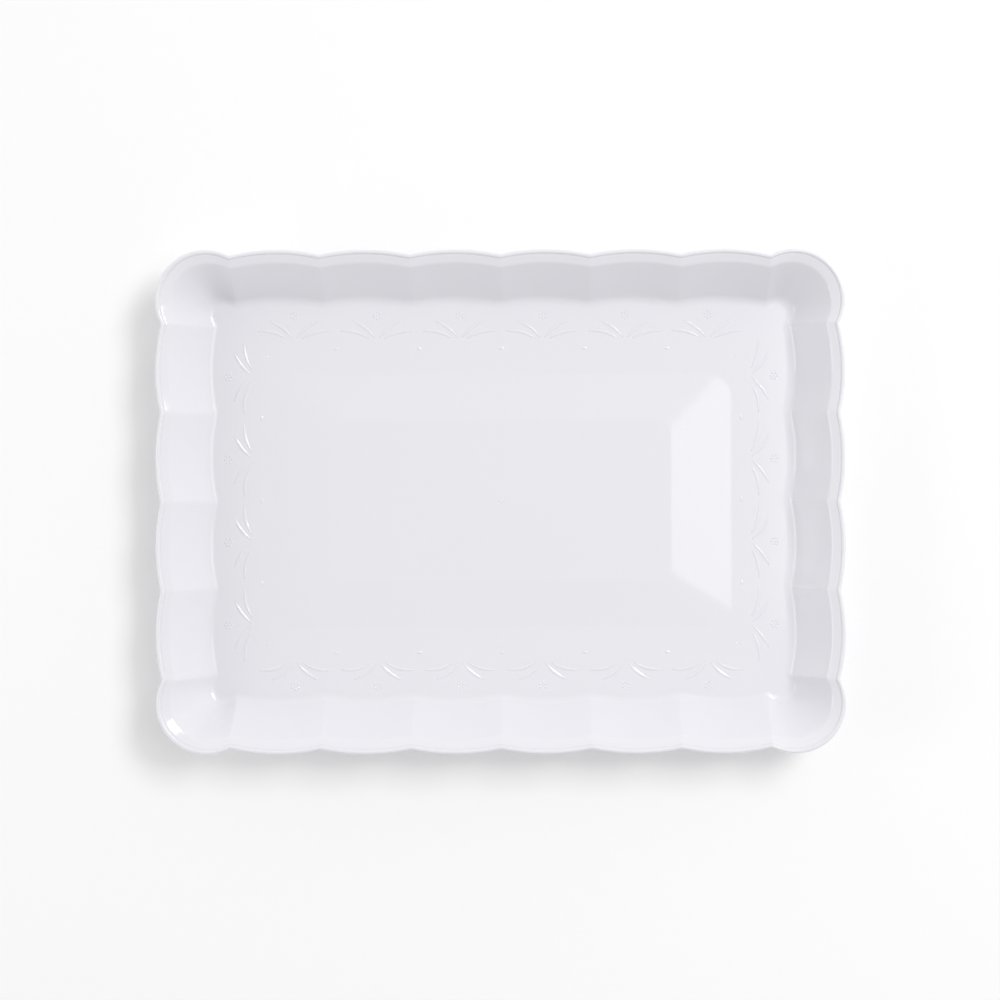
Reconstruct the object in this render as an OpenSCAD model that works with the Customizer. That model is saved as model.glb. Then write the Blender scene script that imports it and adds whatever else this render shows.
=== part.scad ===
// Scalloped rectangular serving platter, moulded in one piece.
// Origin on the table under the platter's centre, X along its length, Z up.

/* [Platter] */
// Overall length, across the corner lobes
tray_l = 350; // [320:2:380]
// Overall width, across the corner lobes
tray_w = 256; // [235:1:275]
// Overall height, from the table to the top of the rim's bead
tray_h = 30; // [27:0.5:36]
// Thickness of the moulded shell
shell_t = 2.2; // [1.8:0.1:2.6]

/* [Scallops] */
// Scallops along each long side
long_scallops = 6; // [5:1:8]
// Scallops along each short side
short_scallops = 4; // [3:1:5]
// How far each scallop stands out from its cusps
scallop_rise = 2.5; // [1.5:0.1:3.5]
// Radius of the corner lobes at the rim
lobe_r = 25.4; // [23:0.2:28]
// Radius of the corner pockets at the floor
pocket_r = 5.6; // [4:0.2:8]

/* [Rim and wall] */
// Width of the flared flange
flange_w = 5.8; // [5:0.2:8]
// Slope of the flange above level, in degrees
flange_slope = 28; // [16:1:32]
// Distance in plan from the rim's edge to the flat floor
wall_inset = 26.4; // [24:0.2:28]
// Radius of the cove between floor and wall
cove_r = 6; // [4:0.5:8]
// Radius of the bend between wall and flange
bend_r = 4; // [3:0.2:4.6]

/* [Raised panel] */
// Distance in plan from the rim's edge to the foot of the panel, at the platter's ends
panel_inset_l = 55; // [54:1:65]
// Distance in plan from the rim's edge to the foot of the panel, at the platter's sides
panel_inset_w = 61.5; // [56:0.5:68]
// Run of the panel's bevel at the platter's ends
bevel_run_l = 34; // [20:1:40]
// Run of the panel's bevel at the platter's sides
bevel_run_w = 26; // [16:1:30]
// Height of the panel above the floor round it
panel_h = 1.6; // [1:0.2:3]

/* [Foot ring] */
// Height of the foot ring under the floor
foot_h = 2; // [1.5:0.25:2.5]
// Width of the foot ring
foot_w = 2.4; // [1.6:0.2:4]
// Distance in plan from the rim's edge to the foot ring
foot_inset = 32; // [30:1:40]

/* [Relief] */
// Flower sprigs along each long side
long_sprigs = 6; // [4:1:6]
// Flower sprigs along each short side
short_sprigs = 4; // [2:1:4]
// Distance between neighbouring sprigs
sprig_pitch = 42.9; // [40:0.1:46]
// Distance from a crest of the floor's edge to the flowers, long sides
flower_gap_l = 5.5; // [4.8:0.1:7]
// Distance from a crest of the floor's edge to the flowers, short sides
flower_gap_w = 7; // [4.8:0.1:8]
// Distance from the flowers to the line of seeds
seed_gap = 17.2; // [15:0.1:19]
// Height of the relief above the floor
relief_h = 0.4; // [0.3:0.1:0.8]

/* [Hidden] */
gloss_white = "#e6e6eb";

half_l = tray_l / 2;
half_w = tray_w / 2;
floor_under = foot_h;
floor_top = foot_h + shell_t;

// How far each lobe runs on past its two axes, in degrees, at the rim and at the floor
wrap_rim = 28.5;
wrap_floor = 57;
// Share of a half scallop over which its cusps are rounded at the floor
cusp_soft = 0.15;
// Points along each scallop and round each lobe
scallop_steps = 6;
lobe_steps = 10;
cove_steps = 4;
bend_steps = 3;
bead_steps = 5;

// Bead along the rim's edge, and the groove beside it
bead_r = shell_t / 2;
bead_proud = 0.37;
groove_inset = 2.3;
groove_deep = 0.2;

function mix(a, b, t) = a + (b - a) * t;
function heading(angle) = [cos(angle), sin(angle)];

// Plan outline of the platter: the rim's edge, the floor's edge, and a blend between them

function corner_sign(q) = [[1, 1], [-1, 1], [-1, -1], [1, -1]][q % 4];

function lobe_point(q, angle, inset, r) =
    let (s = corner_sign(q))
    [s.x * (half_l - inset - r), s.y * (half_w - inset - r)] + r * heading(angle);

function lobe(q, inset, r, wrap) =
    let (start = 90 * q - wrap, sweep = 90 + 2 * wrap)
    [for (i = [0 : lobe_steps]) lobe_point(q, start + sweep * i / lobe_steps, inset, r)];

// The cusps stand in line down the wall, so their places along a side come from the rim
cusp_run_l = half_l - lobe_r - lobe_r * sin(wrap_rim);
cusp_run_w = half_w - lobe_r - lobe_r * sin(wrap_rim);

// Square of u, levelled off over the last stretch before u = 1
function softened(u, soft) =
    u < 1 - soft ? u * u
    : let (x = u - 1 + soft)
      (1 - soft) * (1 - soft + 2 * x - x * x / max(soft, 0.001));

function scallop_point(a, b, out, crest, s, soft_a, soft_b) =
    let (rise = crest - mix(a, b, 0.5) * out,
         u = 1 - 2 * s,
         f = 1 - softened(abs(u), u > 0 ? soft_a : soft_b))
    mix(a, b, s) + out * rise * f;

function side(q, inset, r, wrap, soft) =
    let (out = heading(90 * q + 90),
         along = [out.y, -out.x],
         on_long_side = q % 2 == 0,
         n = on_long_side ? long_scallops : short_scallops,
         run = on_long_side ? cusp_run_l : cusp_run_w,
         crest = (on_long_side ? half_w : half_l) - inset,
         first = lobe_point(q, 90 * q + 90 + wrap, inset, r),
         last = lobe_point(q + 1, 90 * q + 90 - wrap, inset, r),
         cusps = [for (i = [0 : n])
                      i == 0 ? first
                      : i == n ? last
                      : along * run * (1 - 2 * i / n) + out * (crest - scallop_rise)])
    [for (i = [0 : n - 1], j = [0 : scallop_steps - 1])
         if (i + j > 0)
             scallop_point(cusps[i], cusps[i + 1], out, crest, j / scallop_steps,
                           i == 0 ? 0 : soft, i == n - 1 ? 0 : soft)];

function edge_line(inset, r, wrap, soft) =
    [for (q = [0 : 3]) each concat(lobe(q, inset, r, wrap), side(q, inset, r, wrap, soft))];

rim_line = edge_line(0, lobe_r, wrap_rim, 0);
floor_line = edge_line(wall_inset, pocket_r, wrap_floor, cusp_soft);

function outline(inset) =
    [for (i = [0 : len(rim_line) - 1]) mix(rim_line[i], floor_line[i], inset / wall_inset)];

// Cross-section of the shell, as [distance in from the edge, height]

// Flange surface where it meets the wall's bend
flange_run = flange_w - bead_r;
flange_z = tray_h - bead_proud - flange_run * tan(flange_slope);

// The wall is the straight line that touches both the cove and the bend
cove_c = [wall_inset, floor_top + cove_r];
bend_c = [flange_w, flange_z] - bend_r * [sin(flange_slope), cos(flange_slope)];
reach = cove_c - bend_c;
wall_slope = atan2(-reach.y, reach.x) + asin((cove_r + bend_r) / norm(reach));

// Points of the cove and the bend at a distance from their arcs' centres
function cove(r) = [for (i = [0 : cove_steps])
    let (t = wall_slope * i / cove_steps) cove_c - r * [sin(t), cos(t)]];
function bend(r) = [for (i = [0 : bend_steps])
    let (t = mix(wall_slope, flange_slope, i / bend_steps)) bend_c + r * [sin(t), cos(t)]];

flange_joint = bend(bend_r)[bend_steps];
flange_joint_under = bend(bend_r - shell_t)[bend_steps];

wall_section = concat(cove(cove_r), bend(bend_r),
    [for (i = [bend_steps : -1 : 0]) bend(bend_r - shell_t)[i]],
    [for (i = [cove_steps : -1 : 0]) cove(cove_r + shell_t)[i]]);

bead_c = [bead_r, tray_h - bead_r];
bead_start = 45;
bead_sweep = 225;
rim_section = concat([flange_joint],
    [[groove_inset, flange_z + (flange_w - groove_inset) * tan(flange_slope) - groove_deep]],
    [for (i = [0 : bead_steps]) bead_c + bead_r * heading(bead_start + bead_sweep * i / bead_steps)],
    [[groove_inset, flange_joint_under.y + (flange_joint_under.x - groove_inset) * tan(flange_slope)]],
    [flange_joint_under]);

// Triangles joining each row of points to the next, over the given number of strips
function strip_faces(strips, rows, cols) =
    [for (i = [0 : strips - 1], j = [0 : cols - 1])
        let (a = i * cols + j,
             b = i * cols + (j + 1) % cols,
             c = (i + 1) % rows * cols + (j + 1) % cols,
             d = (i + 1) % rows * cols + j)
        each [[a, b, c], [a, c, d]]];

// A closed ring: the cross-section carried round the scalloped outline
module shell_ring(section) {
    rows = len(section);
    points = [for (p = section) each [for (q = outline(p.x)) [q.x, q.y, p.y]]];
    polyhedron(points, strip_faces(rows, rows, len(outline(0))));
}

// Floor, and the bevelled panel raised in its middle

panel_foot_r = 11.5;
panel_top_r = 8;
panel_corner_steps = 10;
panel_top = floor_top + panel_h;

function round_line(x, y, r) =
    [for (q = [0 : 3], i = [0 : panel_corner_steps])
        let (s = corner_sign(q))
        [s.x * (x - r), s.y * (y - r)] + r * heading(90 * q + 90 * i / panel_corner_steps)];

panel_foot_line = round_line(half_l - panel_inset_l, half_w - panel_inset_w, panel_foot_r);
panel_top_line = round_line(half_l - panel_inset_l - bevel_run_l,
                            half_w - panel_inset_w - bevel_run_w, panel_top_r);

module well_floor() {
    color(gloss_white)
        translate([0, 0, floor_under])
            linear_extrude(shell_t)
                difference() {
                    polygon(outline(wall_inset));
                    polygon(panel_foot_line);
                }
}

// The panel keeps the shell's thickness, so its underside is hollowed to match
module raised_panel() {
    cols = len(panel_top_line);
    points = concat([for (q = panel_top_line) [q.x, q.y, panel_top]],
                    [for (q = panel_foot_line) [q.x, q.y, floor_top]],
                    [for (q = panel_foot_line) [q.x, q.y, floor_under]],
                    [for (q = panel_top_line) [q.x, q.y, panel_top - shell_t]]);
    faces = concat(strip_faces(3, 4, cols),
                   [[for (j = [cols - 1 : -1 : 0]) j]],
                   [[for (j = [0 : cols - 1]) 3 * cols + j]]);
    color(gloss_white) polyhedron(points, faces);
}

module side_wall() {
    color(gloss_white) shell_ring(wall_section);
}

module rim_flange() {
    color(gloss_white) shell_ring(rim_section);
}

// Foot ring

foot_corner_r = 16;

module round_rectangle(l, w, r) {
    square([l - 2 * r, w], center = true);
    square([l, w - 2 * r], center = true);
    for (x = [-1, 1], y = [-1, 1])
        translate([x * (l / 2 - r), y * (w / 2 - r)]) circle(r, $fn = 64);
}

module foot_ring() {
    foot_l = tray_l - 2 * foot_inset;
    foot_b = tray_w - 2 * foot_inset;
    color(gloss_white)
        linear_extrude(foot_h)
            difference() {
                round_rectangle(foot_l, foot_b, foot_corner_r);
                round_rectangle(foot_l - 2 * foot_w, foot_b - 2 * foot_w, foot_corner_r - foot_w);
            }
}

// Relief on the floor: sprigs of one flower and four leaves, with seeds between

flower_y_l = half_w - wall_inset - flower_gap_l;
flower_y_w = half_l - wall_inset - flower_gap_w;

// Places children along the four sides, in line with +Y outward
module along_sides(long_n, short_n, long_y, short_y) {
    for (q = [0 : 3]) {
        n = q % 2 == 0 ? long_n : short_n;
        y = q % 2 == 0 ? long_y : short_y;
        for (i = [0 : n - 1])
            rotate(90 * q)
                translate([(i - (n - 1) / 2) * sprig_pitch, y, floor_top])
                    children();
    }
}

petals = 6;
petal_r = 0.8;
petal_ring_r = 1.75;
eye_r = 0.5;

module flower_relief() {
    color(gloss_white)
        along_sides(long_sprigs, short_sprigs, flower_y_l, flower_y_w) {
            cylinder(relief_h, r = eye_r, $fn = 24);
            for (i = [0 : petals - 1])
                rotate(90 + i * 360 / petals)
                    translate([petal_ring_r, 0, 0])
                        cylinder(relief_h, r1 = petal_r, r2 = petal_r * 0.6, $fn = 24);
        }
}

// A curved leaf from its base to its tip, bowed to one side
leaf_steps = 8;

module leaf(base, tip, bow, half_width) {
    across = [base.y - tip.y, tip.x - base.x] / norm(tip - base);
    edge = function (i, side) mix(base, tip, i / leaf_steps)
        + across * (bow + side * half_width) * sin(180 * i / leaf_steps);
    linear_extrude(relief_h)
        polygon(concat([for (i = [0 : leaf_steps]) edge(i, 1)],
                       [for (i = [leaf_steps - 1 : -1 : 1]) edge(i, -1)]));
}

// Bases and tips from the flower's centre, on the sprig's right half
short_leaf_base = [0.9, -11.9];
short_leaf_tip = [12.9, -2.9];
long_leaf_base = [3.6, -12.2];
long_leaf_tip = [19.4, -8.2];
short_leaf_bow = 1.1;
long_leaf_bow = 1.5;
leaf_half_w = 1.05;

module leaf_relief() {
    color(gloss_white)
        along_sides(long_sprigs, short_sprigs, flower_y_l, flower_y_w)
            for (flip = [0, 1])
                mirror([flip, 0, 0]) {
                    leaf(short_leaf_base, short_leaf_tip, short_leaf_bow, leaf_half_w);
                    leaf(long_leaf_base, long_leaf_tip, long_leaf_bow, leaf_half_w);
                }
}

seed_l = 3.8;
seed_w = 1.9;
corner_seed_x = 26.9;

module seed(length, width) {
    linear_extrude(relief_h) {
        square([length - width, width], center = true);
        for (x = [-1, 1])
            translate([x * (length - width) / 2, 0]) circle(d = width, $fn = 24);
    }
}

module seed_relief() {
    color(gloss_white) {
        along_sides(long_sprigs - 1, short_sprigs - 1, flower_y_l - seed_gap, flower_y_w - seed_gap)
            seed(seed_l, seed_w);
        for (x = [-1, 1], y = [-1, 1])
            translate([x * (half_l - wall_inset - corner_seed_x),
                       y * (half_w - wall_inset - corner_seed_x), floor_top])
                rotate(45 * x * y)
                    seed(seed_l * 0.6, seed_w * 0.7);
    }
}

// The flat dot where the mould was filled, at the panel's centre
gate_r = 1.3;
gate_h = 0.2;

module gate_mark() {
    color(gloss_white)
        translate([0, 0, panel_top])
            cylinder(gate_h, r = gate_r, $fn = 48);
}

well_floor();
raised_panel();
side_wall();
rim_flange();
foot_ring();
flower_relief();
leaf_relief();
seed_relief();
gate_mark();
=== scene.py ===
import math

import bmesh
import bpy
import numpy as np
from mathutils import Matrix, Vector


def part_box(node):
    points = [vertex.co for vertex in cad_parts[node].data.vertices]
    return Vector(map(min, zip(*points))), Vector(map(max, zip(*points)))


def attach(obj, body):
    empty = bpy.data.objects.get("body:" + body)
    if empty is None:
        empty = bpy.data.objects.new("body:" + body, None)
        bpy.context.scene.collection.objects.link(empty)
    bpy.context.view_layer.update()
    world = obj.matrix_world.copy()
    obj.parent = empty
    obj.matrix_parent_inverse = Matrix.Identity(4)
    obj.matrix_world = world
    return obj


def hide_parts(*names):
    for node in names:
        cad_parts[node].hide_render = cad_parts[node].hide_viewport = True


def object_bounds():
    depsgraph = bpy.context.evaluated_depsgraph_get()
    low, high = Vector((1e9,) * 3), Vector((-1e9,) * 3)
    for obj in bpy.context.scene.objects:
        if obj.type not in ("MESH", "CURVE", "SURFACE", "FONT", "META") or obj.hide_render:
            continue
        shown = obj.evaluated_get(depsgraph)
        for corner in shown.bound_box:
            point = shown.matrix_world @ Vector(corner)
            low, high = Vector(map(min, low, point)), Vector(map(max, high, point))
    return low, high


# A scalloped serving platter, moulded in one piece, with a border of flower sprigs round its floor.
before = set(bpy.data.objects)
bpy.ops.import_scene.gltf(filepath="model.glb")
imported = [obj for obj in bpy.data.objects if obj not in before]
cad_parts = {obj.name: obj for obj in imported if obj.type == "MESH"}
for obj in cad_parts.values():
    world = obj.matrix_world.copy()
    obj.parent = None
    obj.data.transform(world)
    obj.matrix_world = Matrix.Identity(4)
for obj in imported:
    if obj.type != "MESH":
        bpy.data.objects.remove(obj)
cadLow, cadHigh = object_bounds()
scene = bpy.context.scene
mm = 0.001
print("frame loaded:", len(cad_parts), "nodes")

# What the frame fixes: overall size, the floor's two faces and the wall's run in plan.
floorLow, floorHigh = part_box("well_floor")
footLow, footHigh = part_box("foot_ring")
panelLow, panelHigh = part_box("raised_panel")
halfLength, halfWidth, rimTop = cadHigh
floorTop, floorUnder = floorHigh.z, floorLow.z
wallInset = halfLength - floorHigh.x
shellThick = floorTop - floorUnder


class Wire:
    # an output socket; a sum on it adds a Math node to its tree
    def __init__(self, tree, socket):
        self.tree = tree
        self.socket = socket

    def maths(self, operation, other=0.0, turned=False):
        first, second = (other, self) if turned else (self, other)
        return self.tree.node("ShaderNodeMath", {"operation": operation}, {0: first, 1: second})

    def __add__(self, other):
        return self.maths("ADD", other)

    def __radd__(self, other):
        return self.maths("ADD", other, True)

    def __sub__(self, other):
        return self.maths("SUBTRACT", other)

    def __rsub__(self, other):
        return self.maths("SUBTRACT", other, True)

    def __mul__(self, other):
        return self.maths("MULTIPLY", other)

    def __rmul__(self, other):
        return self.maths("MULTIPLY", other, True)

    def __truediv__(self, other):
        return self.maths("DIVIDE", other)

    def __mod__(self, other):
        return self.maths("MODULO", other)

    def out(self, name):
        return Wire(self.tree, self.socket.node.outputs[name])


class Tree:
    # one node tree, of a material or of geometry
    def __init__(self, nodeTree):
        self.nodes = nodeTree.nodes
        self.links = nodeTree.links

    def node(self, kind, settings=None, sockets=None):
        made = self.nodes.new(kind)
        for key, value in (settings or {}).items():
            setattr(made, key, value)
        for key, value in (sockets or {}).items():
            if isinstance(value, Wire):
                self.links.new(value.socket, made.inputs[key])
            else:
                made.inputs[key].default_value = value
        first = next((socket for socket in made.outputs if socket.enabled), None)
        return Wire(self, first) if first else None


def geometryTree(name, inputs):
    group = bpy.data.node_groups.new(name, "GeometryNodeTree")
    group.interface.new_socket("Geometry", in_out="OUTPUT", socket_type="NodeSocketGeometry")
    group.interface.new_socket("Geometry", in_out="INPUT", socket_type="NodeSocketGeometry")
    for label, kind in inputs.items():
        group.interface.new_socket(label, in_out="INPUT", socket_type="NodeSocket" + kind)
    tree = Tree(group)
    start = group.nodes.new("NodeGroupInput")
    return group, tree, {socket.name: Wire(tree, socket) for socket in start.outputs if socket.name}


def endTree(tree, geometry, material):
    real = tree.node("GeometryNodeRealizeInstances", {}, {"Geometry": geometry})
    painted = tree.node("GeometryNodeSetMaterial", {}, {"Geometry": real, "Material": material})
    tree.node("NodeGroupOutput", {}, {"Geometry": painted})


def grow(name, group, values, start=None):
    # runs a geometry tree and keeps its result as a plain mesh
    piece = bpy.data.objects.new(name, start or bpy.data.meshes.new(name))
    scene.collection.objects.link(piece)
    modifier = piece.modifiers.new("Grow", "NODES")
    modifier.node_group = group
    for item in group.interface.items_tree:
        if item.in_out == "INPUT" and item.name in values:
            modifier[item.identifier] = values[item.name]
    bpy.context.view_layer.update()
    grown = piece.evaluated_get(bpy.context.evaluated_depsgraph_get())
    mesh = bpy.data.meshes.new_from_object(grown)
    piece.modifiers.remove(modifier)
    piece.data = mesh
    mesh.name = name
    print("made", name, len(mesh.polygons), "faces")
    return piece


# Plan outline of the platter
outlineLook = {
    "longScallops": 6,
    "shortScallops": 4,
    "scallopRise": 2.5 * mm,
    "lobeRadius": 25.4 * mm,       # corner lobes at the rim
    "pocketRadius": 5.6 * mm,      # corner pockets at the floor
    "rimWrap": 28.5,               # how far a lobe runs past its axes, degrees
    "floorWrap": 57.0,
    "rimCuspSoft": 0.45 * mm,      # spread of the rounding at the cusps
    "floorCuspSoft": 1.6 * mm,
    "scallopSteps": 24,
    "lobeSteps": 32,
}


def mix(a, b, share):
    return a + (b - a) * share


def heading(angle):
    return np.array([math.cos(math.radians(angle)), math.sin(math.radians(angle))])


def lobePoint(corner, angle, inset):
    look = outlineLook
    radius = mix(look["lobeRadius"], look["pocketRadius"], inset / wallInset)
    towards = np.array([(1, 1), (-1, 1), (-1, -1), (1, -1)][corner % 4])
    centre = towards * np.array([halfLength - inset - radius, halfWidth - inset - radius])
    return centre + radius * heading(angle)


def sidePoints(corner, inset):
    # the scallops from this corner to the next, without its two corner cusps
    look = outlineLook
    onLongSide = corner % 2 == 0
    count = look["longScallops"] if onLongSide else look["shortScallops"]
    out = heading(90 * corner + 90)
    along = np.array([out[1], -out[0]])
    wrap = mix(look["rimWrap"], look["floorWrap"], inset / wallInset)
    half = halfLength if onLongSide else halfWidth
    run = half - look["lobeRadius"] * (1 + math.sin(math.radians(look["rimWrap"])))
    crest = (halfWidth if onLongSide else halfLength) - inset
    cusps = [along * run * (1 - 2 * i / count) + out * (crest - look["scallopRise"])
             for i in range(count + 1)]
    cusps[0] = lobePoint(corner, 90 * corner + 90 + wrap, inset)
    cusps[-1] = lobePoint(corner + 1, 90 * corner + 90 - wrap, inset)
    points = []
    for first, last in zip(cusps, cusps[1:]):
        rise = crest - np.dot(mix(first, last, 0.5), out)
        for step in range(look["scallopSteps"]):
            share = (1 - math.cos(math.pi * step / look["scallopSteps"])) / 2   # closer at the cusps
            points.append(mix(first, last, share) + out * rise * (1 - (1 - 2 * share) ** 2))
    return points[1:]


def softened(points, spread):
    # rounds the cusps: each point becomes the mean of its neighbours along the outline
    lengths = np.linalg.norm(np.roll(points, -1, 0) - points, axis=1)
    places = np.concatenate([[0], np.cumsum(lengths)[:-1]])
    total = lengths.sum()
    gaps = np.abs(places[:, None] - places[None, :])
    gaps = np.minimum(gaps, total - gaps)
    weights = np.exp(-0.5 * (gaps / spread) ** 2) * (lengths + np.roll(lengths, 1))[None, :]
    return weights @ points / weights.sum(1)[:, None]


def outline(inset):
    look = outlineLook
    wrap = mix(look["rimWrap"], look["floorWrap"], inset / wallInset)
    points = []
    for corner in range(4):
        sweep = 90 + 2 * wrap
        points += [lobePoint(corner, 90 * corner - wrap + sweep * step / look["lobeSteps"], inset)
                   for step in range(look["lobeSteps"] + 1)]
        points += sidePoints(corner, inset)
    return softened(np.array(points), mix(look["rimCuspSoft"], look["floorCuspSoft"], inset / wallInset))


rimOutline = outline(0.0)
floorOutline = outline(wallInset)


def outlineAt(inset):
    return mix(rimOutline, floorOutline, inset / wallInset)


# Cross-section of the shell, as (distance in from the edge, height)
sectionLook = {
    "flangeWidth": 5.8 * mm,
    "flangeSlope": 28.0,
    "coveRadius": 6.0 * mm,
    "bendRadius": 4.0 * mm,
    "beadProud": 0.37 * mm,
    "grooveInset": 2.3 * mm,
    "grooveDips": [                # before the groove: distance from it, and depth there
        (0.5 * mm, 0.0),
        (0.3 * mm, 0.03 * mm),
        (0.15 * mm, 0.12 * mm),
        (0.0, 0.2 * mm),
    ],
    "floorSeam": 0.5 * mm,         # flat strip that the wall keeps at its foot
    "flangeSeam": 0.5 * mm,        # straight strip that it keeps at its top
    "coveSteps": 14,
    "wallSteps": 6,
    "bendSteps": 10,
    "beadSteps": 20,
}


def arcPoints(centre, radius, fromAngle, toAngle, steps):
    # angles from the downward heading, towards the rim's edge
    return [centre + radius * np.array([-math.sin(a), -math.cos(a)])
            for a in np.linspace(fromAngle, toAngle, steps + 1)]


def between(first, last, steps):
    return [mix(first, last, i / steps) for i in range(1, steps)]


def shellSections():
    look = sectionLook
    slope = math.radians(look["flangeSlope"])
    beadRadius = shellThick / 2
    flangeZ = rimTop - look["beadProud"] - (look["flangeWidth"] - beadRadius) * math.tan(slope)
    flangeStart = np.array([look["flangeWidth"], flangeZ])
    outward = np.array([-math.cos(slope), math.sin(slope)])
    coveCentre = np.array([wallInset, floorTop + look["coveRadius"]])
    bendCentre = flangeStart - look["bendRadius"] * np.array([math.sin(slope), math.cos(slope)])
    reach = coveCentre - bendCentre
    radii = look["coveRadius"] + look["bendRadius"]
    wallSlope = math.atan2(-reach[1], reach[0]) + math.asin(radii / np.linalg.norm(reach))

    def face(coveRadius, bendRadius, z):
        # one face of the wall, from the floor's seam up to the flange's
        cove = arcPoints(coveCentre, coveRadius, 0, wallSlope, look["coveSteps"])
        bend = [bendCentre + bendRadius * np.array([math.sin(a), math.cos(a)])
                for a in np.linspace(wallSlope, slope, look["bendSteps"] + 1)]
        foot = np.array([wallInset + look["floorSeam"], z])
        return [foot] + cove + between(cove[-1], bend[0], look["wallSteps"]) + bend \
            + [bend[-1] + outward * look["flangeSeam"]]

    inner = face(look["coveRadius"], look["bendRadius"], floorTop)
    outer = face(look["coveRadius"] + shellThick, look["bendRadius"] - shellThick, floorUnder)
    wall = inner + outer[::-1]

    def flangeAt(inset, start):
        return np.array([inset, start[1] + (start[0] - inset) * math.tan(slope)])

    groove = look["grooveInset"]
    beadCentre = np.array([beadRadius, rimTop - beadRadius])
    bead = [beadCentre + beadRadius * heading(a) for a in np.linspace(35, 270, look["beadSteps"] + 1)]
    dips = [flangeAt(groove + away, inner[-1]) - [0, depth] for away, depth in look["grooveDips"]]
    top = [inner[-1]] + between(inner[-1], dips[0], 4) + dips
    under = flangeAt(groove, outer[-1])
    rim = top + bead + [mix(bead[-1], under, 0.4), under] + between(under, outer[-1], 3) + [outer[-1]]
    return wall, rim


wallSection, rimSection = shellSections()


def guide(name, points):
    mesh = bpy.data.meshes.new(name)
    mesh.from_pydata([tuple(p) for p in points], [], [])
    guideObject = bpy.data.objects.new(name, mesh)
    scene.collection.objects.link(guideObject)
    return guideObject


def ringTree():
    # a closed section carried between two outlines
    group, tree, given = geometryTree("Ring between outlines", {
        "Outer Outline": "Object", "Inner Outline": "Object", "Section": "Object",
        "Outline Points": "Int", "Section Points": "Int", "Inset": "Float",
        "Weld": "Float", "Crease Angle": "Float", "Material": "Material"})
    columns = given["Outline Points"] + 1
    rows = given["Section Points"] + 1
    grid = tree.node("GeometryNodeMeshGrid", {}, {"Vertices X": columns, "Vertices Y": rows})
    index = tree.node("GeometryNodeInputIndex")
    column = (index / rows).maths("FLOOR") % given["Outline Points"]
    row = (index % rows) % given["Section Points"]
    position = tree.node("GeometryNodeInputPosition")

    def pointOf(source, place):
        shape = tree.node("GeometryNodeObjectInfo", {}, {"Object": source}).out("Geometry")
        return tree.node("GeometryNodeSampleIndex", {"data_type": "FLOAT_VECTOR", "domain": "POINT"},
                         {"Geometry": shape, "Value": position, "Index": place})

    section = tree.node("ShaderNodeSeparateXYZ", {}, {0: pointOf(given["Section"], row)})
    share = section.out("X") / given["Inset"]
    plan = tree.node("ShaderNodeMix", {"data_type": "VECTOR", "clamp_factor": False},
                     {0: share, 4: pointOf(given["Outer Outline"], column),
                      5: pointOf(given["Inner Outline"], column)})
    height = tree.node("ShaderNodeCombineXYZ", {}, {"Z": section.out("Z")})
    placed = tree.node("ShaderNodeVectorMath", {"operation": "ADD"}, {0: plan, 1: height})
    ring = tree.node("GeometryNodeSetPosition", {}, {"Geometry": grid, "Position": placed})
    ring = tree.node("GeometryNodeMergeByDistance", {}, {"Geometry": ring, "Distance": given["Weld"]})
    ring = tree.node("GeometryNodeSetShadeSmooth", {"domain": "FACE"},
                     {"Geometry": ring, "Shade Smooth": True})
    sharp = tree.node("FunctionNodeCompare", {"operation": "GREATER_THAN"},
                      {0: tree.node("GeometryNodeInputMeshEdgeAngle"), 1: given["Crease Angle"]})
    ring = tree.node("GeometryNodeSetShadeSmooth", {"domain": "EDGE"},
                     {"Geometry": ring, "Selection": sharp, "Shade Smooth": False})
    endTree(tree, ring, given["Material"])
    return group


ringLook = {"weld": 0.001 * mm, "creaseAngle": 40}


def makeRing(name, group, outer, inner, inset, section, material):
    # the section is carried round backwards, so that its faces look out of the shell
    guides = [guide(name + "Outer", [(x, y, 0) for x, y in outer]),
              guide(name + "Inner", [(x, y, 0) for x, y in inner]),
              guide(name + "Section", [(x, 0, z) for x, z in section[::-1]])]
    piece = grow(name, group, {
        "Outer Outline": guides[0], "Inner Outline": guides[1], "Section": guides[2],
        "Outline Points": len(outer), "Section Points": len(section), "Inset": inset,
        "Weld": ringLook["weld"], "Crease Angle": math.radians(ringLook["creaseAngle"]),
        "Material": material})
    for helper in guides:
        bpy.data.objects.remove(helper)
    return piece


plasticLook = {
    "pale": (0.842, 0.835, 0.874, 1.0),
    "cool": (0.832, 0.825, 0.866, 1.0),
    "roughness": 0.08,
    "roughnessDrift": 0.02,
    "underRoughness": 0.22,        # the mould's back half is less polished
    "underTurn": 4.0,              # how fast that sets in as a face turns downward
    "roughnessGrain": 0.02,
    "footRoughness": 0.3,          # the foot is scuffed by use
    "footGrain": 6.0,
    "waveSize": 14.0,              # slow swells left by shrinkage
    "waveHeight": 0.010 * mm,
    "grainSize": 900.0,
    "grainHeight": 0.0004 * mm,
}


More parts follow.
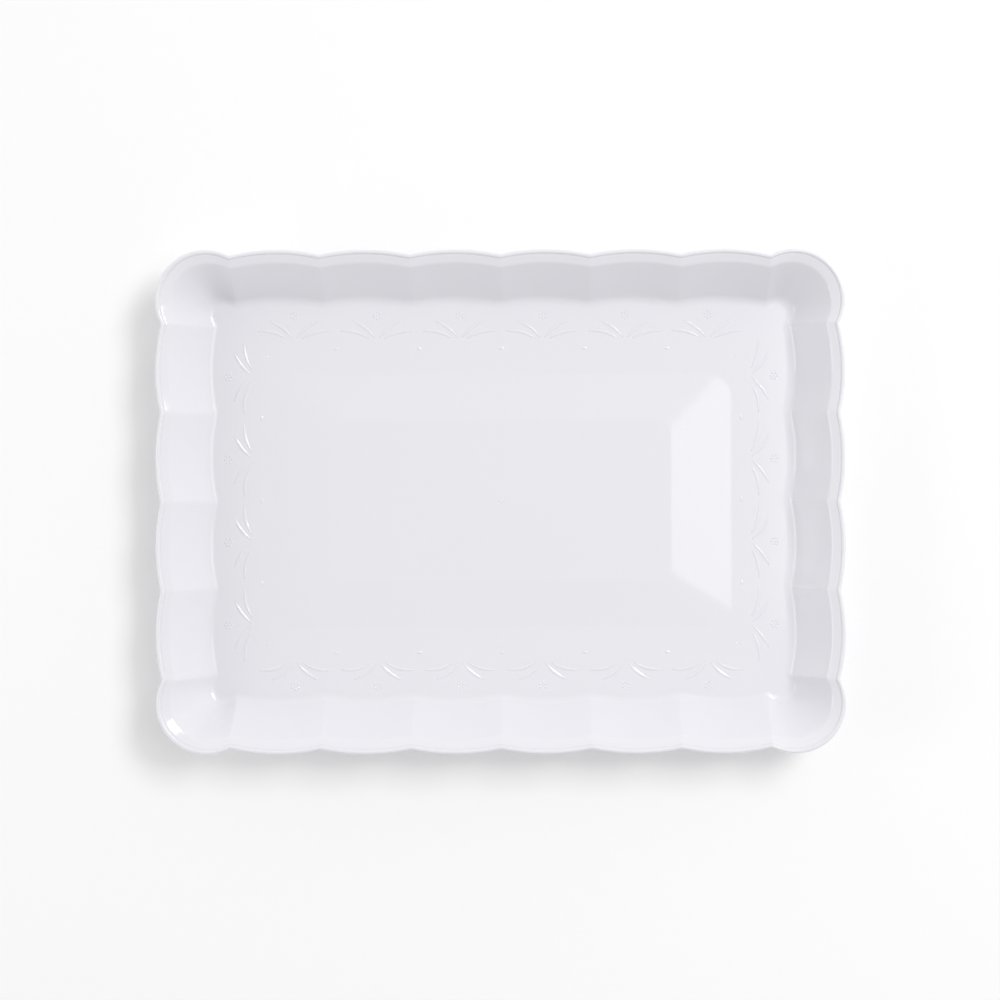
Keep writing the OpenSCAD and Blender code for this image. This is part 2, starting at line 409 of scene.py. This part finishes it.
def whiteMoulding(name, roughness, grain=1.0):
    look = plasticLook
    material = bpy.data.materials.new(name)
    material.use_nodes = True
    material.node_tree.nodes.clear()
    tree = Tree(material.node_tree)
    coords = tree.node("ShaderNodeTexCoord").out("Object")

    def noise(scale, detail):
        return tree.node("ShaderNodeTexNoise", {"noise_dimensions": "3D"},
                         {"Vector": coords, "Scale": scale, "Detail": detail, "Roughness": 0.5}).out(0)

    drift = noise(look["waveSize"], 2.0)
    fine = noise(look["grainSize"], 3.0)
    colour = tree.node("ShaderNodeMix", {"data_type": "RGBA"},
                       {0: drift, 6: look["pale"], 7: look["cool"]}).out(2)
    normal = tree.node("ShaderNodeSeparateXYZ", {}, {0: tree.node("ShaderNodeNewGeometry").out("Normal")})
    under = (normal.out("Z") * -look["underTurn"]).maths("MINIMUM", 1.0).maths("MAXIMUM", 0.0)
    rough = roughness + look["roughnessDrift"] * drift + under * (look["underRoughness"] - roughness)
    rough = rough + (fine - 0.5) * look["roughnessGrain"] * grain
    height = drift * look["waveHeight"] + fine * look["grainHeight"] * grain
    bump = tree.node("ShaderNodeBump", {}, {"Height": height, "Strength": 1.0, "Distance": 1.0})
    shader = tree.node("ShaderNodeBsdfPrincipled", {}, {
        "Base Color": colour, "Roughness": rough, "Normal": bump, "IOR": 1.5})
    tree.node("ShaderNodeOutputMaterial", {}, {"Surface": shader})
    return material


glossWhite = whiteMoulding("glossWhite", plasticLook["roughness"])
scuffedWhite = whiteMoulding("scuffedWhite", plasticLook["footRoughness"], grain=plasticLook["footGrain"])


def finishPiece(piece, node):
    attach(piece, "root")
    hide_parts(node)
    return piece


def meshPiece(name, build, material):
    shape = bmesh.new()
    build(shape)
    mesh = bpy.data.meshes.new(name)
    shape.to_mesh(mesh)
    shape.free()
    mesh.materials.append(material)
    piece = bpy.data.objects.new(name, mesh)
    scene.collection.objects.link(piece)
    print("made", name, len(mesh.polygons), "faces")
    return piece


def roundRectangle(halfX, halfY, radius, steps):
    points = []
    for corner, (sx, sy) in enumerate([(1, 1), (-1, 1), (-1, -1), (1, -1)]):
        centre = np.array([sx * (halfX - radius), sy * (halfY - radius)])
        points += [centre + radius * heading(90 * corner + 90 * i / steps) for i in range(steps + 1)]
    return np.array(points)


def rowAt(shape, points, height):
    return [shape.verts.new((x, y, height)) for x, y in points]


def joinRows(shape, first, second):
    # a band of quads between two closed rows of points
    return [shape.faces.new((first[i], first[i - 1], second[i - 1], second[i])) for i in range(len(first))]


panelLook = {
    "bevelRunLong": 34.0 * mm,     # towards the platter's ends
    "bevelRunShort": 26.0 * mm,    # towards its sides
    "footCorner": 11.5 * mm,
    "topCorner": 8.0 * mm,
    "cornerSteps": 16,
    "foldShare": 0.08,             # share of the bevel's run that each of its two folds takes
    "foldSteps": 5,
    "bevelSteps": 4,
    "foldClear": 1.1,              # the straight part starts this many folds up the bevel
}
panelFoot = roundRectangle(panelHigh.x, panelHigh.y, panelLook["footCorner"], panelLook["cornerSteps"])
panelEdge = roundRectangle(panelHigh.x - panelLook["bevelRunLong"], panelHigh.y - panelLook["bevelRunShort"],
                           panelLook["topCorner"], panelLook["cornerSteps"])


def bevelHeight(share):
    # height along the bevel from its foot to its top: level, folding up, straight, folding level
    fold = panelLook["foldShare"]
    steepest = 1 / (1 - fold)
    if share < fold:
        return steepest * share ** 2 / (2 * fold)
    if share > 1 - fold:
        return 1 - steepest * (1 - share) ** 2 / (2 * fold)
    return steepest * (share - fold / 2)


def buildPanel(shape):
    look = panelLook
    fold = look["foldShare"]
    lowerFold = np.linspace(0, fold, look["foldSteps"] + 1)
    straight = np.linspace(fold * look["foldClear"], 1 - fold * look["foldClear"], look["bevelSteps"])
    upperFold = np.linspace(1 - fold, 1, look["foldSteps"] + 1)
    shares = [*lowerFold, *straight, *upperFold]
    rise = panelHigh.z - floorTop
    top, under = [[rowAt(shape, mix(panelFoot, panelEdge, share), base + rise * bevelHeight(share))
                   for share in shares] for base in (floorTop, floorUnder)]
    rows = top[::-1] + under
    for first, second in zip(rows, rows[1:]):
        for face in joinRows(shape, first, second):
            face.smooth = True
    shape.faces.new(top[-1])
    shape.faces.new(under[-1][::-1])
    for row in (top[0], under[0]):
        for i in range(len(row)):
            shape.edges.get((row[i], row[i - 1])).smooth = False
    bmesh.ops.recalc_face_normals(shape, faces=shape.faces)


def buildFloor(shape):
    # a level border with a window for the panel
    edge = outlineAt(wallInset + sectionLook["floorSeam"])
    levels = [[rowAt(shape, points, height) for points in (edge, panelFoot)]
              for height in (floorTop, floorUnder)]
    for level in levels:
        around = [shape.edges.new((row[i], row[i - 1])) for row in level for i in range(len(row))]
        bmesh.ops.triangle_fill(shape, use_beauty=True, edges=around)
    for top, under in zip(*levels):
        joinRows(shape, top, under)
    bmesh.ops.recalc_face_normals(shape, faces=shape.faces)


footLook = {
    "cornerRadius": 16.0 * mm,
    "width": 2.4 * mm,
    "edgeRadius": 0.6 * mm,
    "cornerSteps": 16,
    "edgeSteps": 7,
}


def makeFootRing(group):
    look = footLook
    width = look["width"]
    outer = roundRectangle(footHigh.x, footHigh.y, look["cornerRadius"], look["cornerSteps"])
    inner = roundRectangle(footHigh.x - width, footHigh.y - width, look["cornerRadius"] - width,
                           look["cornerSteps"])
    r = look["edgeRadius"]
    section = [np.array([width, floorUnder]), np.array([0, floorUnder])]
    section += [np.array([r, r]) + r * heading(a) for a in np.linspace(180, 270, look["edgeSteps"])]
    section += [np.array([width - r, r]) + r * heading(a) for a in np.linspace(270, 360, look["edgeSteps"])]
    return makeRing("footRing", group, outer, inner, width, section, scuffedWhite)


rings = ringTree()
wellFloor = finishPiece(meshPiece("wellFloor", buildFloor, glossWhite), "well_floor")
raisedPanel = finishPiece(meshPiece("raisedPanel", buildPanel, glossWhite), "raised_panel")
flutedWall = finishPiece(
    makeRing("flutedWall", rings, rimOutline, floorOutline, wallInset, wallSection, glossWhite), "side_wall")
beadedRim = finishPiece(
    makeRing("beadedRim", rings, rimOutline, floorOutline, wallInset, rimSection, glossWhite), "rim_flange")
footRing = finishPiece(makeFootRing(rings), "foot_ring")


reliefLook = {
    "height": 0.4 * mm,
    "sunk": 0.05 * mm,             # how far each edge goes down into the floor
    "pitch": 42.9 * mm,
    "flowerGapLong": 5.5 * mm,     # from a crest of the floor's edge to the flowers
    "flowerGapShort": 7.0 * mm,
    "seedGap": 17.2 * mm,          # from the flowers to the line of seeds
    "cornerSeedGap": 26.9 * mm,
    "shoulder": 1.5,               # higher is a narrower crest
    "domeRings": (1.0, 0.88, 0.68, 0.4),
}
flowerLook = {
    "petals": 6,
    "ring": 1.75 * mm,
    "petalLength": 0.84 * mm,
    "petalWidth": 0.72 * mm,
    "eye": 0.5 * mm,
    "eyeRise": 0.8,                # share of the petals' height
    "steps": 12,
}
leafLook = {
    "blades": [                    # base, tip and bow of each, in mm
        ((0.9, -11.9), (12.9, -2.9), 1.1),
        ((3.6, -12.2), (19.4, -8.2), 1.5),
    ],
    "halfWidth": 1.05 * mm,
    "fullness": 0.7,               # lower is blunter at both ends
    "endRise": 0.35,               # share of the height left at the ends
    "riseFullness": 0.6,
    "steps": 12,
    "ribs": (-1.0, -0.8, -0.45, 0.0, 0.45, 0.8, 1.0),
}
seedLook = {"length": 3.8 * mm, "width": 1.9 * mm, "cornerShare": 0.65, "steps": 16}


def swell(share):
    # height of a moulded swelling, from 1 in its middle to 0 at its edge
    if abs(share) >= 1:
        return 0.0
    return math.cos(share * math.pi / 2) ** reliefLook["shoulder"]


def addDome(shape, centre, halfLong, halfWide, turn, height, steps):
    sunk = reliefLook["sunk"]
    spin = Matrix.Rotation(turn, 3, "Z")
    rows = []
    for share in reliefLook["domeRings"]:
        z = mix(-sunk, height, swell(share))
        rows.append([shape.verts.new(centre + spin @ Vector((
            halfLong * share * math.cos(2 * math.pi * i / steps),
            halfWide * share * math.sin(2 * math.pi * i / steps), z))) for i in range(steps)])
    for low, high in zip(rows, rows[1:]):
        for i in range(steps):
            j = (i + 1) % steps
            shape.faces.new((low[i], low[j], high[j], high[i])).smooth = True
    crown = shape.verts.new(centre + Vector((0, 0, height)))
    for i in range(steps):
        shape.faces.new((rows[-1][i], rows[-1][(i + 1) % steps], crown)).smooth = True
    shape.faces.new(rows[0][::-1])


def buildFlower(shape):
    look = flowerLook
    for petal in range(look["petals"]):
        angle = math.pi / 2 + 2 * math.pi * petal / look["petals"]
        centre = Vector((math.cos(angle), math.sin(angle), 0)) * look["ring"]
        addDome(shape, centre, look["petalLength"], look["petalWidth"], angle,
                reliefLook["height"], look["steps"])
    addDome(shape, Vector(), look["eye"], look["eye"], 0, reliefLook["height"] * look["eyeRise"],
            look["steps"])


def addLeaf(shape, base, tip, bow, side):
    look = leafLook
    base, tip = Vector((base[0] * side, base[1])) * mm, Vector((tip[0] * side, tip[1])) * mm
    line = tip - base
    across = Vector((-line.y, line.x)).normalized() * side
    rows = []
    for step in range(1, look["steps"]):
        share = step / look["steps"]
        taper = math.sin(math.pi * share)
        middle = base + line * share + across * bow * taper
        wide = look["halfWidth"] * taper ** look["fullness"]
        top = reliefLook["height"] * mix(look["endRise"], 1, taper ** look["riseFullness"])
        rows.append([shape.verts.new((*(middle + across * wide * rib),
                                      mix(-reliefLook["sunk"], top, swell(rib)))) for rib in look["ribs"]])
    ends = [shape.verts.new((*point, -reliefLook["sunk"])) for point in (base, tip)]
    faces = []
    for low, high in zip(rows, rows[1:]):
        for i in range(len(look["ribs"]) - 1):
            faces.append((low[i], high[i], high[i + 1], low[i + 1]))
    for i in range(len(look["ribs"]) - 1):
        faces.append((ends[0], rows[0][i], rows[0][i + 1]))
        faces.append((ends[1], rows[-1][i + 1], rows[-1][i]))
    rightEdge = [row[0] for row in rows]
    leftEdge = [row[-1] for row in rows]
    faces.append([ends[0]] + leftEdge + [ends[1]] + rightEdge[::-1])
    for face in faces:
        shape.faces.new(face).smooth = len(face) < 5


def buildLeaves(shape):
    for side in (1, -1):
        for base, tip, bow in leafLook["blades"]:
            addLeaf(shape, base, tip, bow * mm, side)
    bmesh.ops.recalc_face_normals(shape, faces=shape.faces)


def buildSeed(shape):
    look = seedLook
    addDome(shape, Vector(), look["length"] / 2, look["width"] / 2, 0, reliefLook["height"], look["steps"])


def sidePlaces(longCount, shortCount, gap):
    # points along the four sides, each turned so that its +Y faces the wall
    places = []
    crests = [halfWidth - wallInset - reliefLook["flowerGapLong"] - gap,
              halfLength - wallInset - reliefLook["flowerGapShort"] - gap]
    for side in range(4):
        count = (longCount, shortCount)[side % 2]
        turn = side * math.pi / 2
        for i in range(count):
            spot = Vector(((i - (count - 1) / 2) * reliefLook["pitch"], crests[side % 2], floorTop))
            places.append((Matrix.Rotation(turn, 3, "Z") @ spot, turn, 1.0))
    return places


def cornerPlaces():
    x = halfLength - wallInset - reliefLook["cornerSeedGap"]
    y = halfWidth - wallInset - reliefLook["cornerSeedGap"]
    return [(Vector((sx * x, sy * y, floorTop)), sx * sy * math.pi / 4, seedLook["cornerShare"])
            for sx in (1, -1) for sy in (1, -1)]


def beddingTree():
    group, tree, given = geometryTree("Relief on points", {
        "Motif": "Object", "Motif Size": "Float", "Material": "Material"})
    motif = tree.node("GeometryNodeObjectInfo", {}, {"Object": given["Motif"]}).out("Geometry")

    def stored(name):
        return tree.node("GeometryNodeInputNamedAttribute", {"data_type": "FLOAT"}, {"Name": name})

    turn = tree.node("ShaderNodeCombineXYZ", {}, {"Z": stored("turn")})
    size = stored("size") * given["Motif Size"]
    placed = tree.node("GeometryNodeInstanceOnPoints", {}, {
        "Points": given["Geometry"], "Instance": motif, "Rotation": turn, "Scale": size})
    endTree(tree, placed, given["Material"])
    return group


def bedRelief(name, group, build, places):
    motif = meshPiece(name + "Motif", build, glossWhite)
    points = bpy.data.meshes.new(name + "Places")
    points.from_pydata([tuple(spot) for spot, turn, size in places], [], [])
    points.attributes.new("turn", "FLOAT", "POINT").data.foreach_set("value", [p[1] for p in places])
    points.attributes.new("size", "FLOAT", "POINT").data.foreach_set("value", [p[2] for p in places])
    piece = grow(name, group, {"Motif": motif, "Motif Size": 1.0, "Material": glossWhite}, points)
    bpy.data.objects.remove(motif)
    return piece


bedding = beddingTree()
flowers = finishPiece(bedRelief("sprigFlowers", bedding, buildFlower, sidePlaces(6, 4, 0)), "flower_relief")
leaves = finishPiece(bedRelief("sprigLeaves", bedding, buildLeaves, sidePlaces(6, 4, 0)), "leaf_relief")
seeds = finishPiece(bedRelief("seeds", bedding, buildSeed,
                              sidePlaces(5, 3, reliefLook["seedGap"]) + cornerPlaces()), "seed_relief")

gateLook = {
    "radius": 1.3 * mm,
    "height": 0.2 * mm,
    "steps": 32,
    "section": [(1.0, -0.25), (0.97, 0.55), (0.9, 0.9), (0.8, 1.0), (0.55, 0.9), (0.25, 0.6)],
}


def buildGate(shape):
    # a flat dot with a rounded shoulder and a slight dimple
    look = gateLook
    rows = [[shape.verts.new((look["radius"] * r * math.cos(2 * math.pi * i / look["steps"]),
                              look["radius"] * r * math.sin(2 * math.pi * i / look["steps"]),
                              panelHigh.z + look["height"] * z)) for i in range(look["steps"])]
            for r, z in look["section"]]
    for low, high in zip(rows, rows[1:]):
        for i in range(look["steps"]):
            j = (i + 1) % look["steps"]
            shape.faces.new((low[i], low[j], high[j], high[i])).smooth = True
    shape.faces.new(rows[-1])
    shape.faces.new(rows[0][::-1])


gateDot = finishPiece(meshPiece("gateDot", buildGate, glossWhite), "gate_mark")


studio = {
    "cameraHeight": 1.08,
    "viewWidth": 0.5065,           # of the plane of the rim's top
    "aim": (-0.00025, 0.00076),
    "cameraSpot": (0.020, 0.028),  # the lens stands a little right of and above the middle
    "roll": -0.15,
    "table": (0.98, 0.98, 0.98, 1.0),
    "tableHalf": 6.0,
    "tableRoughness": 0.9,
    "skyLevel": 0.215,
    "skySides": 0.445,             # how much brighter the sky grows away from straight above
    "skyBack": 0.09,               # and behind the platter
    "lamps": {                     # place, size, watts, and where each one points
        "key": ((1.84, 1.48, 2.60), (1.20, 1.64), 55.0, (1.84, 1.48, 0)),
        "softbox": ((0.89, 0.33, 2.10), (1.02, 1.15), 7.0, (0.89, 0.33, 0)),
        "fill": ((-1.35, -0.20, 0.60), (0.70, 0.70), 3.2, (0, 0, 0)),
    },
}


def plainMaterial(name, colour):
    material = bpy.data.materials.new(name)
    material.use_nodes = True
    shader = material.node_tree.nodes["Principled BSDF"]
    shader.inputs["Base Color"].default_value = colour
    shader.inputs["Roughness"].default_value = studio["tableRoughness"]
    shader.inputs["Specular IOR Level"].default_value = 0.0
    return material


def makeStudio():
    mesh = bpy.data.meshes.new("table")
    half = studio["tableHalf"]
    corners = [(-half, -half, 0), (half, -half, 0), (half, half, 0), (-half, half, 0)]
    mesh.from_pydata(corners, [], [(0, 1, 2, 3)])
    mesh.materials.append(plainMaterial("tableWhite", studio["table"]))
    table = bpy.data.objects.new("table", mesh)
    scene.collection.objects.link(table)

    world = bpy.data.worlds.new("sky")
    world.use_nodes = True
    tree = Tree(world.node_tree)
    facing = tree.node("ShaderNodeSeparateXYZ", {}, {0: tree.node("ShaderNodeTexCoord").out("Generated")})
    sides = facing.out("X").maths("ABSOLUTE") + facing.out("Y").maths("ABSOLUTE")
    level = studio["skyLevel"] + studio["skySides"] * sides + studio["skyBack"] * facing.out("Y")
    world.node_tree.links.new(level.socket, world.node_tree.nodes["Background"].inputs["Strength"])
    world.node_tree.nodes["Background"].inputs["Color"].default_value = (1, 1, 1, 1)
    scene.world = world

    for name, (place, size, watts, target) in studio["lamps"].items():
        light = bpy.data.lights.new(name, "AREA")
        light.shape = "RECTANGLE"
        light.size, light.size_y = size
        light.energy = watts
        lamp = bpy.data.objects.new(name, light)
        lamp.location = place
        lamp.rotation_euler = (Vector(place) - Vector(target)).to_track_quat("Z", "Y").to_euler()
        scene.collection.objects.link(lamp)

    cameraData = bpy.data.cameras.new("camera")
    cameraData.lens = cameraData.sensor_width * (studio["cameraHeight"] - rimTop) / studio["viewWidth"]
    camera = bpy.data.objects.new("camera", cameraData)
    camera.location = (*studio["cameraSpot"], studio["cameraHeight"])
    cameraData.shift_x = (studio["aim"][0] - studio["cameraSpot"][0]) / studio["viewWidth"]
    cameraData.shift_y = (studio["aim"][1] - studio["cameraSpot"][1]) / studio["viewWidth"]
    camera.rotation_euler = (0, 0, math.radians(studio["roll"]))
    scene.collection.objects.link(camera)
    scene.camera = camera
    scene.view_settings.view_transform = "Standard"


makeStudio()
print("studio ready")
